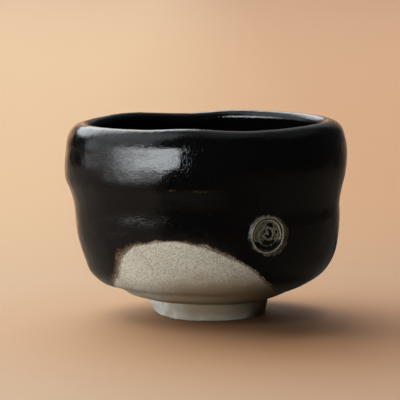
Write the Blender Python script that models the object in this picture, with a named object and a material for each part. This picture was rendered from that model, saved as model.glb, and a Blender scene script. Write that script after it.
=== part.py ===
"""Hand-formed tea bowl: a clay body on a luted foot ring, glazed inside and out, with a stamped clay seal.

Run with: blender --background --python part.py
Metres, +Z up. The foot stands on z = 0 and the z axis runs up the middle of the bowl.
Azimuths are in degrees from +X towards +Y, so the bowl's front is at -90.
"""

import math

import bmesh
import bpy
from mathutils import Matrix, Vector

# Overall sizes, glaze included.
BOWL_WIDTH = 0.1200  # along X
BOWL_DEPTH = 0.1190  # along Y
BOWL_HEIGHT = 0.0823  # table to the lip's mean crest

# Foot ring.
FOOT_RADIUS = 0.0253
FOOT_HEIGHT = 0.0068
FOOT_WALL = 0.0068
FOOT_EDGE = 0.0006  # worn bevel of the ring's edges
FOOT_OFFSET = 0.0011  # how far the foot sits from the bowl's middle, along +X
FOOT_FACETS = ((-140, 0.0011), (52, 0.0008), (128, 0.0010))  # knife cuts: azimuth, depth at the middle

# Clay body.
FOOT_LEDGE = 0.0008  # how far the body's base reaches past the ring
LEAN_HEIGHT = 0.0022  # within this height the base leans over to stand on the foot's own middle
WALL = 0.0052
LIP_ROUND = 0.0020  # radius of the lip's inner edge
FLOOR = 0.0070  # clay over the foot at the middle
FLOOR_POWER = 2.7  # 2 turns the cavity's lower corner as an ellipse, and more makes it squarer
POOL_RADIUS = 0.0150  # shallow pool in the floor where the last tea gathers
POOL_DEPTH = 0.0009
NIPPLE_RADIUS = 0.0110  # low cone that trimming leaves under the body, inside the foot
NIPPLE_HEIGHT = 0.0012

# Glaze, and the gap that keeps touching solids apart.
GLAZE = 0.0007
SEAT_GAP = 0.0003
LIP_OVERLAP = 0.0120  # how far the outer coat runs down inside the lip

# Stamped seal.
SEAL_AZIMUTH = -63.7
SEAL_LEVEL = 0.435  # the seal's middle, as a share of the clay's height over the foot
SEAL_RADIUS = 0.0084
SEAL_RISE = 0.0017  # clay wall to the seal's rim
SEAL_RIM = 0.0016  # width of the plain rim
SEAL_FIELD_DEPTH = 0.0007  # how far the field lies below the rim
SEAL_MARK_RISE = 0.0004
SEAL_MARK_WIDTH = 0.0013
SEAL_MARK_TURNS = 2.0

# Resolution of the meshes.
SIDES = 48
BODY_ROWS = 36
GLAZE_LINE_SIDES = 96
SEAL_SIDES = 40
SEAL_ROWS = 12
SPAN_STEPS = 8  # points that a span of an outline is measured with
TURN_LENGTH = 0.012  # a turn of one radian draws rows together as this much length would

# The wall's outline from the foot to the crest of the lip, as shares of the clay's height over the foot and of
# its half width. The last column is the wall's thickness there as a multiple of WALL, where the cavity has a wall.
WALL_OUTLINE = (
    # height, right side, left side, thickness
    (0.030, 0.565, 0.560, None),
    (0.062, 0.641, 0.624, None),
    (0.106, 0.742, 0.750, None),
    (0.166, 0.844, 0.823, None),
    (0.241, 0.905, 0.860, None),
    (0.351, 0.938, 0.902, 1.12),
    (0.469, 0.948, 0.923, 1.00),
    (0.559, 0.948, 0.934, 1.00),
    (0.631, 0.964, 0.960, 1.02),
    (0.700, 0.984, 0.994, 1.05),
    (0.775, 0.997, 0.998, 1.05),
    (0.860, 0.997, 0.988, 1.05),
    (0.922, 0.982, 0.980, 1.05),
    (0.968, 0.958, 0.955, None),
    (0.993, 0.922, 0.922, None),
    (1.000, 0.894, 0.890, None),
)

# The lip's low hills and the dips between them: azimuth, height over the mean crest.
RIM_WAVE = (
    (-160, -0.0007),
    (-120, -0.0005),
    (-98, 0.0004),
    (-71, -0.0007),
    (-25, 0.0005),
    (15, 0.0006),
    (45, 0.0009),
    (72, 0.0010),
    (100, -0.0005),
    (130, 0.0005),
    (165, -0.0009),
)

# Where the outer coat ends: azimuth, share of the clay's height over the foot. The rise at the front is the bare
# window.
GLAZE_LINE = (
    (-170, 0.055),
    (-154, 0.097),
    (-139, 0.181),
    (-131, 0.309),
    (-120, 0.376),
    (-104, 0.403),
    (-92, 0.379),
    (-80, 0.317),
    (-68, 0.235),
    (-58, 0.147),
    (-40, 0.073),
    (-15, 0.044),
    (20, 0.053),
    (55, 0.040),
    (90, 0.055),
    (125, 0.043),
    (155, 0.050),
)

COAT = SEAT_GAP + GLAZE
BASE_HEIGHT = FOOT_HEIGHT + SEAT_GAP
CLAY_HALF_WIDTH = BOWL_WIDTH / 2 - COAT
CLAY_HALF_DEPTH = BOWL_DEPTH / 2 - COAT
CREST_HEIGHT = BOWL_HEIGHT - COAT
SEAL_HEIGHT = BASE_HEIGHT + SEAL_LEVEL * (CREST_HEIGHT - BASE_HEIGHT)
FLOOR_HEIGHT = BASE_HEIGHT + FLOOR
FOOT_CENTRE = Vector((FOOT_OFFSET, 0, 0))

# Places along a section, counted in control points from the foot: the crest, and the last one on the floor.
CREST = len(WALL_OUTLINE)
FLOOR_ANGLES = (15, 30, 45, 60, 75, 85, 90)
CAVITY_SHARES = [row for row in reversed(WALL_OUTLINE) if row[3]]
SECTION_END = CREST + 2 + len(CAVITY_SHARES) + len(FLOOR_ANGLES)


def mix(a, b, share):
    return a + (b - a) * share


def smooth_step(value):
    value = min(1, max(0, value))
    return value * value * (3 - 2 * value)


def around(stations, azimuth):
    """Value at an azimuth of a closed, smooth curve through (azimuth, value) stations."""
    count = len(stations)
    azimuth = (azimuth - stations[0][0]) % 360 + stations[0][0]
    last = max(i for i in range(count) if stations[i][0] <= azimuth)
    near = []
    for step in (-1, 0, 1, 2):
        turns, index = divmod(last + step, count)
        near.append((stations[index][0] + 360 * turns, stations[index][1]))
    return hermite(near, (azimuth - near[1][0]) / (near[2][0] - near[1][0]))


def hermite(near, share):
    """Height between near[1] and near[2] of a curve through four (place, height) stations."""
    (x0, y0), (x1, y1), (x2, y2), (x3, y3) = near
    span = x2 - x1
    before, along, after = (y1 - y0) / (x1 - x0), (y2 - y1) / span, (y3 - y2) / (x3 - x2)
    start = 0 if before * along <= 0 else 2 * before * along / (before + along)
    end = 0 if along * after <= 0 else 2 * along * after / (along + after)
    share2, share3 = share**2, share**3
    return (
        (2 * share3 - 3 * share2 + 1) * y1
        + (share3 - 2 * share2 + share) * span * start
        + (3 * share2 - 2 * share3) * y2
        + (share3 - share2) * span * end
    )


def section_controls(azimuth):
    """Control points of the clay's section, as (radius, height), from the foot over the lip to the floor."""
    rightness = (1 + math.cos(math.radians(azimuth))) / 2
    crest_height = CREST_HEIGHT + around(RIM_WAVE, azimuth)

    def wall_point(row):
        radius = CLAY_HALF_WIDTH * mix(row[2], row[1], rightness)
        return radius, mix(BASE_HEIGHT, crest_height, row[0])

    points = [(FOOT_RADIUS + FOOT_LEDGE, BASE_HEIGHT)]
    points += [wall_point(row) for row in WALL_OUTLINE]
    crest_radius, crest_height = points[-1]
    for angle in (45, 80):
        turn = math.radians(angle)
        inward, down = math.sin(turn), 1 - math.cos(turn)
        points.append((crest_radius - LIP_ROUND * inward, crest_height - LIP_ROUND * down))
    for row in CAVITY_SHARES:
        radius, height = wall_point(row)
        points.append((radius - WALL * row[3], height))
    corner_radius, corner_height = points[-1]
    for angle in FLOOR_ANGLES:
        turn = math.radians(angle)
        outward = max(0, math.cos(turn)) ** (2 / FLOOR_POWER)
        downward = 1 - math.sin(turn) ** (2 / FLOOR_POWER)
        radius = corner_radius * outward
        height = mix(FLOOR_HEIGHT, corner_height, downward)
        points.append((radius, height - POOL_DEPTH * (1 - smooth_step(radius / POOL_RADIUS))))
    points[-1] = (0, points[-1][1])
    return [Vector(point) for point in points]


def on_curve(points, place):
    """Point and direction at a place on a smooth curve through points. Place 2.5 is midway from points[2] on."""
    index = min(int(place), len(points) - 2)
    share = place - index
    start, end = points[index], points[index + 1]
    span = (end - start).length
    tangents = []
    for at in (index, index + 1):
        before = points[at] - points[at - 1] if at > 0 else points[1] - points[0]
        after = points[at + 1] - points[at] if at + 1 < len(points) else before
        weight = before.length / (before.length + after.length)
        tangents.append(mix(before.normalized(), after.normalized(), weight) * span)
    share2, share3 = share**2, share**3
    point = (
        (2 * share3 - 3 * share2 + 1) * start
        + (share3 - 2 * share2 + share) * tangents[0]
        + (3 * share2 - 2 * share3) * end
        + (share3 - share2) * tangents[1]
    )
    direction = (
        (6 * share2 - 6 * share) * (start - end)
        + (3 * share2 - 4 * share + 1) * tangents[0]
        + (3 * share2 - 2 * share) * tangents[1]
    )
    return point, direction.normalized()


def bowl_point(controls, azimuth, place, lift=0.0):
    """Point in space at a place on a section, lifted off the clay by a distance."""
    point, direction = on_curve(controls, place)
    radius = point.x + direction.y * lift
    height = point.y - direction.x * lift
    turn = math.radians(azimuth)
    slimness = CLAY_HALF_DEPTH / CLAY_HALF_WIDTH
    # The base leans over to stand on the foot's own centre.
    lean = 1 - smooth_step((height - BASE_HEIGHT) / LEAN_HEIGHT)
    flatten = mix(slimness, 1, lean)
    centre = FOOT_CENTRE * lean if place <= CREST else Vector()
    return centre + Vector((radius * math.cos(turn), radius * math.sin(turn) * flatten, height))


def place_of_height(controls, height):
    """Place on the outer wall at a height, found by halving."""
    low, high = 0.0, float(CREST)
    for _ in range(30):
        middle = (low + high) / 2
        if on_curve(controls, middle)[0].y < height:
            low = middle
        else:
            high = middle
    return low


def spread_places(count):
    """Places from one end of a section to the other, closer together where it turns."""
    controls = section_controls(0)
    steps = SECTION_END * SPAN_STEPS
    places = [i / SPAN_STEPS for i in range(steps + 1)]
    found = [on_curve(controls, place) for place in places]
    travelled = [0.0]
    for (point, direction), (next_point, next_direction) in zip(found, found[1:]):
        bend = direction.angle(next_direction, 0)
        travelled.append(travelled[-1] + (next_point - point).length + TURN_LENGTH * bend)
    chosen = []
    for i in range(count):
        wanted = travelled[-1] * i / (count - 1)
        k = min(max(j for j in range(len(travelled)) if travelled[j] <= wanted), steps - 1)
        share = (wanted - travelled[k]) / (travelled[k + 1] - travelled[k])
        chosen.append(mix(places[k], places[k + 1], share))
    return chosen


def further(place, distance):
    """Place that lies a small distance further along a section."""
    controls = section_controls(0)
    step = 1 / SPAN_STEPS
    return place + step * distance / (on_curve(controls, place + step)[0] - on_curve(controls, place)[0]).length


AZIMUTHS = [360 * i / SIDES for i in range(SIDES)]
SECTIONS = [section_controls(azimuth) for azimuth in AZIMUTHS]
PLACES = spread_places(BODY_ROWS)  # every skin shares the body's rows, so their facets run parallel


def bowl_ring(place, lift=0.0):
    """Ring round the bowl at one place on every section."""
    return [bowl_point(section, azimuth, place, lift) for section, azimuth in zip(SECTIONS, AZIMUTHS)]


def add_solid(name, rings, material, closed_loop=False):
    """Solid from rings of points, each joined to the next. A ring of one point is a pole. A closed loop joins
    the last ring to the first."""
    bm = bmesh.new()
    loops = [[bm.verts.new(point) for point in ring] for ring in rings]
    pairs = list(zip(loops, loops[1:]))
    if closed_loop:
        pairs.append((loops[-1], loops[0]))
    for lower, upper in pairs:
        sides = max(len(lower), len(upper))
        for i in range(sides):
            j = (i + 1) % sides
            if len(lower) == 1:
                bm.faces.new((lower[0], upper[j], upper[i]))
            elif len(upper) == 1:
                bm.faces.new((lower[i], lower[j], upper[0]))
            else:
                bm.faces.new((lower[i], lower[j], upper[j], upper[i]))
    bmesh.ops.recalc_face_normals(bm, faces=bm.faces)
    # Flat triangles, split alike on neighbouring skins, are what a Boolean cuts cleanly.
    bmesh.ops.triangulate(bm, faces=bm.faces, quad_method="SHORT_EDGE")
    mesh = bpy.data.meshes.new(name)
    bm.to_mesh(mesh)
    bm.free()
    mesh.shade_smooth()
    mesh.set_sharp_from_angle(angle=math.radians(40))
    if material:
        mesh.materials.append(material)
    solid = bpy.data.objects.new(name, mesh)
    bpy.context.scene.collection.objects.link(solid)
    return solid


def add_material(name, colour, roughness):
    material = bpy.data.materials.new(name)
    material.use_nodes = True
    shader = material.node_tree.nodes["Principled BSDF"]
    shader.inputs["Base Color"].default_value = (*colour, 1)
    shader.inputs["Roughness"].default_value = roughness
    shader.inputs["Metallic"].default_value = 0
    return material


def foot_outline(radius, azimuth):
    """Distance from the foot's centre, on a circle that knife cuts have flattened."""
    for middle, depth in FOOT_FACETS:
        away = math.radians(azimuth - middle)
        if math.cos(away) > 0:
            radius = min(radius, (radius - depth) / math.cos(away))
    return radius


def foot_ring_points(radius, height, cut=True):
    points = []
    for azimuth in AZIMUTHS:
        turn = math.radians(azimuth)
        reach = foot_outline(radius, azimuth) if cut else radius
        points.append(FOOT_CENTRE + Vector((reach * math.cos(turn), reach * math.sin(turn), height)))
    return points


def make_clay_body(material):
    """Thick-walled body: flat base with a trimmed cone, outer wall, lip, cavity and floor."""
    rings = [[FOOT_CENTRE + Vector((0, 0, BASE_HEIGHT + NIPPLE_HEIGHT * 0.15))]]
    for share in (0.35, 0.7, 1.0):
        radius = NIPPLE_RADIUS * share
        dome = NIPPLE_HEIGHT * smooth_step(share)
        rings.append(foot_ring_points(radius, BASE_HEIGHT + dome, cut=False))
    recess_radius = FOOT_RADIUS - FOOT_WALL - FOOT_EDGE
    rings.append(foot_ring_points(recess_radius, BASE_HEIGHT + NIPPLE_HEIGHT, cut=False))
    rings.append(foot_ring_points(recess_radius + 2 * FOOT_EDGE, BASE_HEIGHT, cut=False))
    rings += [bowl_ring(place) for place in PLACES[:-1]]
    rings.append([bowl_point(SECTIONS[0], 0, SECTION_END)])
    return add_solid("clay_body", rings, material)


def make_foot_ring(material):
    """Ring that the bowl stands on, with bevelled edges and knife-cut flats outside."""
    inner = FOOT_RADIUS - FOOT_WALL
    outline = (
        (inner + FOOT_EDGE, 0, False),
        (FOOT_RADIUS - FOOT_EDGE, 0, True),
        (FOOT_RADIUS, FOOT_EDGE, True),
        (FOOT_RADIUS, FOOT_HEIGHT, True),
        (inner, FOOT_HEIGHT, False),
        (inner, FOOT_EDGE, False),
    )
    rings = [foot_ring_points(*corner) for corner in outline]
    return add_solid("foot_ring", rings, material, closed_loop=True)


def coat_end():
    """Index of the row inside the lip where the outer coat ends and the liner begins."""
    controls = section_controls(0)
    lowest = on_curve(controls, CREST)[0].y - LIP_OVERLAP
    return next(i for i, place in enumerate(PLACES) if place > CREST and on_curve(controls, place)[0].y < lowest)


def cut_away(solid, cutter):
    cut = solid.modifiers.new(cutter.name, "BOOLEAN")
    cut.operation = "DIFFERENCE"
    cut.solver = "EXACT"
    cut.object = cutter


def make_outer_glaze(material, cutters):
    """Outer coat: from the bare window and foot, over the lip and a little way down inside."""
    places = PLACES[1 : coat_end() + 1]
    rings = [bowl_ring(place, COAT) for place in places]
    rings += [bowl_ring(place, SEAT_GAP) for place in reversed(places)]
    coat = add_solid("outer_glaze", rings, material, closed_loop=True)
    for cutter in cutters:
        cut_away(coat, cutter)
    return coat


def make_inner_glaze(material):
    """Liner: the poured coat that covers the cavity below the outer coat's edge."""
    end = coat_end()
    places = [further(PLACES[end], SEAT_GAP), *PLACES[end + 1 : -1]]
    rings = [[bowl_point(SECTIONS[0], 0, SECTION_END, COAT)]]
    rings += [bowl_ring(place, COAT) for place in reversed(places)]
    rings += [bowl_ring(place, SEAT_GAP) for place in places]
    rings.append([bowl_point(SECTIONS[0], 0, SECTION_END, SEAT_GAP)])
    return add_solid("inner_glaze", rings, material)


def make_glaze_line_cutter():
    """Cutter for what the dip left bare: a tall washer whose top waves round the bowl as the glaze's edge does."""
    hole_radius, outer_radius = FOOT_RADIUS / 2, BOWL_WIDTH
    rings = []
    for radius, on_line in ((hole_radius, True), (outer_radius, True), (outer_radius, False), (hole_radius, False)):
        ring = []
        for i in range(GLAZE_LINE_SIDES):
            azimuth = 360 * i / GLAZE_LINE_SIDES
            turn = math.radians(azimuth)
            height = mix(BASE_HEIGHT, CREST_HEIGHT, around(GLAZE_LINE, azimuth)) if on_line else -BASE_HEIGHT
            ring.append((radius * math.cos(turn), radius * math.sin(turn), height))
        rings.append(ring)
    return as_cutter(add_solid("glaze_line_cutter", rings, None, closed_loop=True))


def as_cutter(solid):
    solid.hide_render = True
    solid.display_type = "WIRE"
    return solid


def seal_frame():
    """Matrix whose origin is on the wall under the seal's middle, with Z out of the wall and Y up it."""
    controls = section_controls(SEAL_AZIMUTH)
    place = place_of_height(controls, SEAL_HEIGHT)
    origin = bowl_point(controls, SEAL_AZIMUTH, place)
    normal = (bowl_point(controls, SEAL_AZIMUTH, place, COAT) - origin).normalized()
    across = Vector((0, 0, 1)).cross(normal).normalized()
    up = normal.cross(across)
    frame = Matrix((across, up, normal)).transposed().to_4x4()
    frame.translation = origin
    return frame


def wall_depth(frame, across, up):
    """How far behind the seal's plane the clay wall lies, at a point of that plane."""
    to_frame = frame.inverted()
    azimuth, height = SEAL_AZIMUTH, SEAL_HEIGHT
    for _ in range(4):
        controls = section_controls(azimuth)
        place = place_of_height(controls, height)
        found = to_frame @ bowl_point(controls, azimuth, place)
        azimuth += math.degrees((across - found.x) / CLAY_HALF_WIDTH)
        height += up - found.y
    return found.z


def seal_face(radius, azimuth):
    """Height of the stamped face over the wall: a plain rim round a sunk field with a raised whorl."""
    field_radius = SEAL_RADIUS - SEAL_RIM
    if radius > field_radius:
        return SEAL_RISE
    whorl_pitch = (field_radius - SEAL_MARK_WIDTH) / SEAL_MARK_TURNS
    turns_out = radius / whorl_pitch - azimuth / 360
    off_line = abs(turns_out - round(turns_out)) * whorl_pitch
    on_mark = 1 - smooth_step(off_line / (SEAL_MARK_WIDTH / 2) - 0.5)
    inside = 1 - smooth_step((radius - field_radius + SEAL_MARK_WIDTH) / SEAL_MARK_WIDTH)
    return SEAL_RISE - SEAL_FIELD_DEPTH + SEAL_MARK_RISE * on_mark * inside


def make_seal(material, frame):
    """Clay pad pressed on the wall, flat in front and hollowed behind to the wall's own curve."""
    face, back = [], []
    rim = SEAL_RADIUS - SEAL_RIM
    edge = SEAL_RIM / 4
    radii = [rim * (i + 1) / SEAL_ROWS for i in range(SEAL_ROWS)]
    for radius in [*radii, rim + edge, SEAL_RADIUS - edge, SEAL_RADIUS]:
        ring = []
        for i in range(SEAL_SIDES):
            azimuth = 360 * i / SEAL_SIDES
            turn = math.radians(azimuth)
            rise = seal_face(radius, azimuth)
            if radius == SEAL_RADIUS:
                rise -= edge
            ring.append(frame @ Vector((radius * math.cos(turn), radius * math.sin(turn), rise)))
        face.append(ring)
    for share in (1.0, 0.75, 0.5, 0.25):
        ring = []
        for i in range(SEAL_SIDES):
            turn = 2 * math.pi * i / SEAL_SIDES
            across = SEAL_RADIUS * share * math.cos(turn)
            up = SEAL_RADIUS * share * math.sin(turn)
            ring.append(frame @ Vector((across, up, wall_depth(frame, across, up) + SEAT_GAP)))
        back.append(ring)
    first = [frame @ Vector((0, 0, seal_face(0, 0)))]
    last = [frame @ Vector((0, 0, SEAT_GAP))]
    return add_solid("seal_medallion", [first, *face, *back, last], material)


def make_seal_cutter(frame):
    """Cutter for the round hole that the outer coat leaves for the seal."""
    bpy.ops.mesh.primitive_cylinder_add(vertices=SEAL_SIDES, radius=SEAL_RADIUS + SEAT_GAP, depth=WALL * 2)
    cutter = bpy.context.object
    cutter.name = "seal_cutter"
    cutter.matrix_world = frame
    return as_cutter(cutter)


def main():
    for old in list(bpy.data.objects):
        bpy.data.objects.remove(old)
    bare_clay = add_material("bare_clay", (0.40, 0.34, 0.26), 0.9)
    foot_clay = add_material("foot_clay", (0.52, 0.51, 0.46), 0.9)
    stamped_clay = add_material("stamped_clay", (0.16, 0.14, 0.10), 0.6)
    black_glaze = add_material("black_glaze", (0.010, 0.009, 0.009), 0.15)
    frame = seal_frame()
    make_clay_body(bare_clay)
    make_foot_ring(foot_clay)
    make_outer_glaze(black_glaze, [make_glaze_line_cutter(), make_seal_cutter(frame)])
    make_inner_glaze(black_glaze)
    make_seal(stamped_clay, frame)


main()
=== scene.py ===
import math

import bpy
import numpy as np
from mathutils import Matrix, Vector


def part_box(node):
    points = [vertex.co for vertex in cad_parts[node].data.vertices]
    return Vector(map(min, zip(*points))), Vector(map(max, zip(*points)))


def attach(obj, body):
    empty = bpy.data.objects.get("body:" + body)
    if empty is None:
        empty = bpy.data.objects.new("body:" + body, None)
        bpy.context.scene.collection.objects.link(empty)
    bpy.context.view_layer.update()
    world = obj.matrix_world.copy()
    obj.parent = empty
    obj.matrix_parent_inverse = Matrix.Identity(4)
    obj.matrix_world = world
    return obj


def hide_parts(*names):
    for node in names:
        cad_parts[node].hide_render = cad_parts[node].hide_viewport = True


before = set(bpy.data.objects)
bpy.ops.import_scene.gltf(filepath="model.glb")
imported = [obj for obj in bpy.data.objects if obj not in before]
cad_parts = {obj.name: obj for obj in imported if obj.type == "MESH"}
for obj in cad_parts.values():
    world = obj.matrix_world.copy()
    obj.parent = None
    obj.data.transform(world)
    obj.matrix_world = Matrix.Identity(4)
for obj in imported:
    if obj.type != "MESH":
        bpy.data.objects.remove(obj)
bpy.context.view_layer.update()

clayLow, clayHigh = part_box("clay_body")
footLow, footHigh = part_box("foot_ring")
print("frame loaded: black tea bowl")

# Sizes are metres. Azimuths are degrees from +X towards +Y, so the front is at -90.

bowlForm = {
    "footReach": (footHigh[0] - footLow[0]) / 2 + 0.0008,
    "footCentre": (footHigh[0] + footLow[0]) / 2,
    "base": footHigh[2] + 0.0003,  # underside of the body
    "halfWidth": (clayHigh[0] - clayLow[0]) / 2 / 0.9975,
    "halfDepth": (clayHigh[1] - clayLow[1]) / 2 / 0.9975,
    "crest": 0.0813,  # mean height of the clay's lip
    "leanHeight": 0.0022,
    "wall": 0.0052,
    "lipRound": 0.0020,
    "floor": 0.0070,  # clay over the foot
    "floorPower": 2.7,
    "poolRadius": 0.0150,
    "poolDepth": 0.0009,
    # share of the height, right side, left side, wall thickness as a share of "wall"
    "outline": [
        (0.030, 0.565, 0.560, None),
        (0.062, 0.641, 0.624, None),
        (0.106, 0.742, 0.750, None),
        (0.166, 0.844, 0.823, None),
        (0.241, 0.905, 0.860, None),
        (0.351, 0.938, 0.902, 1.12),
        (0.469, 0.948, 0.923, 1.00),
        (0.559, 0.948, 0.934, 1.00),
        (0.631, 0.964, 0.960, 1.02),
        (0.700, 0.984, 0.994, 1.05),
        (0.775, 0.997, 0.998, 1.05),
        (0.860, 0.997, 0.988, 1.05),
        (0.922, 0.982, 0.980, 1.05),
        (0.968, 0.958, 0.955, None),
        (0.993, 0.922, 0.922, None),
        (1.000, 0.894, 0.890, None),
    ],
    # the lip's hills and dips
    "rimWave": [
        (-160, -0.0007), (-120, -0.0005), (-98, 0.0004), (-71, -0.0007), (-25, 0.0005), (15, 0.0006),
        (45, 0.0009), (72, 0.0010), (100, -0.0005), (130, 0.0005), (165, -0.0009),
    ],
    # where the black glaze ends above the foot; the rise at the front is the bare window
    "glazeLine": [
        (-170, 0.0112), (-154, 0.0143), (-139, 0.0205), (-131, 0.0300), (-120, 0.0350), (-104, 0.0370),
        (-92, 0.0352), (-80, 0.0306), (-68, 0.0245), (-58, 0.0180), (-40, 0.0125), (-15, 0.0104),
        (20, 0.0110), (55, 0.0101), (90, 0.0112), (125, 0.0103), (155, 0.0108),
    ],
    # how wide the glaze's thin speckled fringe is
    "fringe": [
        (-170, 0.0012), (-142, 0.0030), (-133, 0.0046), (-122, 0.0016), (-106, 0.0009), (-92, 0.0024),
        (-82, 0.0026), (-70, 0.0013), (-55, 0.0016), (20, 0.0012), (110, 0.0016),
    ],
}
crestPlace = len(bowlForm["outline"])
cavityRows = [row for row in reversed(bowlForm["outline"]) if row[3]]
floorAngles = (15, 30, 45, 60, 75, 85, 90)
lastPlace = crestPlace + 2 + len(cavityRows) + len(floorAngles)


def mix(a, b, share):
    return a + (b - a) * share


def smoothStep(value):
    value = np.clip(value, 0, 1)
    return value * value * (3 - 2 * value)


def curveBetween(s, start, startSlope, end, endSlope):
    return (
        (2 * s**3 - 3 * s**2 + 1) * start
        + (s**3 - 2 * s**2 + s) * startSlope
        + (3 * s**2 - 2 * s**3) * end
        + (s**3 - s**2) * endSlope
    )


def around(stations, azimuths):
    # closed smooth curve through (azimuth, value) stations
    x = np.array([station[0] for station in stations], float)
    y = np.array([station[1] for station in stations], float)
    span = np.diff(np.append(x, x[0] + 360))
    slope = np.diff(np.append(y, y[0])) / span
    before = np.roll(slope, 1)
    product = before * slope
    tangent = np.where(product > 0, 2 * product / np.where(product > 0, before + slope, 1), 0)
    at = (np.asarray(azimuths, float) - x[0]) % 360 + x[0]
    i = np.clip(np.searchsorted(x, at, side="right") - 1, 0, len(x) - 1)
    j = (i + 1) % len(x)
    return curveBetween((at - x[i]) / span[i], y[i], span[i] * tangent[i], y[j], span[i] * tangent[j])


def sectionControls(azimuths):
    # control points of the clay's section at each azimuth: array (azimuth, point, radius and height)
    azimuths = np.asarray(azimuths, float)
    rightness = (1 + np.cos(np.radians(azimuths))) / 2
    base = bowlForm["base"]
    crest = bowlForm["crest"] + around(bowlForm["rimWave"], azimuths)

    def wallPoint(row):
        return bowlForm["halfWidth"] * mix(row[2], row[1], rightness), mix(base, crest, row[0])

    points = [(np.full_like(azimuths, bowlForm["footReach"]), np.full_like(azimuths, base))]
    points += [wallPoint(row) for row in bowlForm["outline"]]
    crestRadius, crestHeight = points[-1]
    for angle in (45, 80):
        turn = math.radians(angle)
        inward, down = math.sin(turn), 1 - math.cos(turn)
        lip = bowlForm["lipRound"]
        points.append((crestRadius - lip * inward, crestHeight - lip * down))
    for row in cavityRows:
        radius, height = wallPoint(row)
        points.append((radius - bowlForm["wall"] * row[3], height))
    cornerRadius, cornerHeight = points[-1]
    for angle in floorAngles:
        turn = math.radians(angle)
        power = 2 / bowlForm["floorPower"]
        radius = cornerRadius * (math.cos(turn) if angle < 90 else 0) ** power
        height = mix(base + bowlForm["floor"], cornerHeight, 1 - math.sin(turn) ** power)
        height = height - bowlForm["poolDepth"] * (1 - smoothStep(radius / bowlForm["poolRadius"]))
        points.append((radius, height))
    return np.stack([np.stack(point, axis=-1) for point in points], axis=1)


def onSection(controls, places):
    # point and direction at one place per section
    places = np.broadcast_to(np.asarray(places, float), controls.shape[:1])
    rows = np.arange(len(controls))
    index = np.clip(places.astype(int), 0, controls.shape[1] - 2)
    s = (places - index)[:, None]
    start, end = controls[rows, index], controls[rows, index + 1]
    span = np.linalg.norm(end - start, axis=1, keepdims=True)
    tangents = []
    for at in (index, index + 1):
        last = controls.shape[1] - 1
        before = controls[rows, np.maximum(at, 1)] - controls[rows, np.maximum(at, 1) - 1]
        after = controls[rows, np.minimum(at + 1, last)] - controls[rows, np.minimum(at, last - 1)]
        lengthBefore = np.linalg.norm(before, axis=1, keepdims=True) + 1e-12
        lengthAfter = np.linalg.norm(after, axis=1, keepdims=True) + 1e-12
        weight = lengthBefore / (lengthBefore + lengthAfter)
        tangents.append(mix(before / lengthBefore, after / lengthAfter, weight) * span)
    point = curveBetween(s, start, tangents[0], end, tangents[1])
    direction = (
        (6 * s**2 - 6 * s) * (start - end)
        + (3 * s**2 - 4 * s + 1) * tangents[0]
        + (3 * s**2 - 2 * s) * tangents[1]
    )
    return point, direction / (np.linalg.norm(direction, axis=1, keepdims=True) + 1e-12)


def bowlPoints(azimuths, controls, places, lift=0.0):
    # points in space on the clay's skin, lifted off it by a distance
    point, direction = onSection(controls, places)
    radius = point[:, 0] + direction[:, 1] * lift
    height = point[:, 1] - direction[:, 0] * lift
    turn = np.radians(azimuths)
    lean = 1 - smoothStep((height - bowlForm["base"]) / bowlForm["leanHeight"])
    flatten = mix(bowlForm["halfDepth"] / bowlForm["halfWidth"], 1, lean)
    shift = bowlForm["footCentre"] * np.where(np.asarray(places) <= crestPlace, lean, 0)
    return np.stack((shift + radius * np.cos(turn), radius * np.sin(turn) * flatten, height), axis=-1)


def placeOfHeight(controls, heights):
    low, high = np.zeros(len(controls)), np.full(len(controls), float(crestPlace))
    for _ in range(26):
        middle = (low + high) / 2
        below = onSection(controls, middle)[0][:, 1] < heights
        low, high = np.where(below, middle, low), np.where(below, high, middle)
    return low


def spreadPlaces(start, end, step):
    # places along a section, about one step of length apart
    fine = np.linspace(start, end, 600)
    points = onSection(np.repeat(sectionControls([-90.0]), 600, axis=0), fine)[0]
    travelled = np.append(0, np.cumsum(np.linalg.norm(np.diff(points, axis=0), axis=1)))
    count = max(2, int(round(travelled[-1] / step)) + 1)
    return np.interp(np.linspace(0, travelled[-1], count), travelled, fine)


def columnAngles(frontStep, backStep):
    front = np.arange(-172, -8, frontStep)
    back = np.linspace(-8, 188, int(196 / backStep), endpoint=False)
    return np.append(front, back)


def lattice(ix, iy, iz, seed):
    n = (ix * 73856093) ^ (iy * 19349663) ^ (iz * 83492791) ^ (seed * 2654435761)
    n = (n ^ (n >> 13)) & 0x7FFFFFFF
    n = (n * 1274126177) & 0x7FFFFFFF
    n = ((n ^ (n >> 16)) * 40503) & 0x7FFFFFFF
    return (n & 0xFFFF) / 32767.5 - 1


def hills(points, size, seed):
    # smooth random hills from -1 to 1, about one size apart
    p = np.asarray(points) / size + 100
    cell = np.floor(p).astype(np.int64)
    s = p - cell
    s = s * s * (3 - 2 * s)
    total = 0
    for dx in (0, 1):
        for dy in (0, 1):
            for dz in (0, 1):
                weight = (
                    (s[..., 0] if dx else 1 - s[..., 0])
                    * (s[..., 1] if dy else 1 - s[..., 1])
                    * (s[..., 2] if dz else 1 - s[..., 2])
                )
                corner = (cell[..., 0] + dx, cell[..., 1] + dy, cell[..., 2] + dz)
                total = total + weight * lattice(*corner, seed)
    return total


def roughHills(points, size, seed, octaves=3):
    total, weight = 0, 1.0
    for octave in range(octaves):
        total = total + weight * hills(points, size / 2**octave, seed + 7 * octave)
        weight *= 0.5
    return total / (2 - 0.5 ** (octaves - 1))


def gridNormals(points):
    # normals of a grid whose columns go round
    along = np.gradient(points, axis=0)
    across = (np.roll(points, -1, axis=1) - np.roll(points, 1, axis=1)) / 2
    normal = np.cross(across, along)
    return normal / (np.linalg.norm(normal, axis=2, keepdims=True) + 1e-15)


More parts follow.
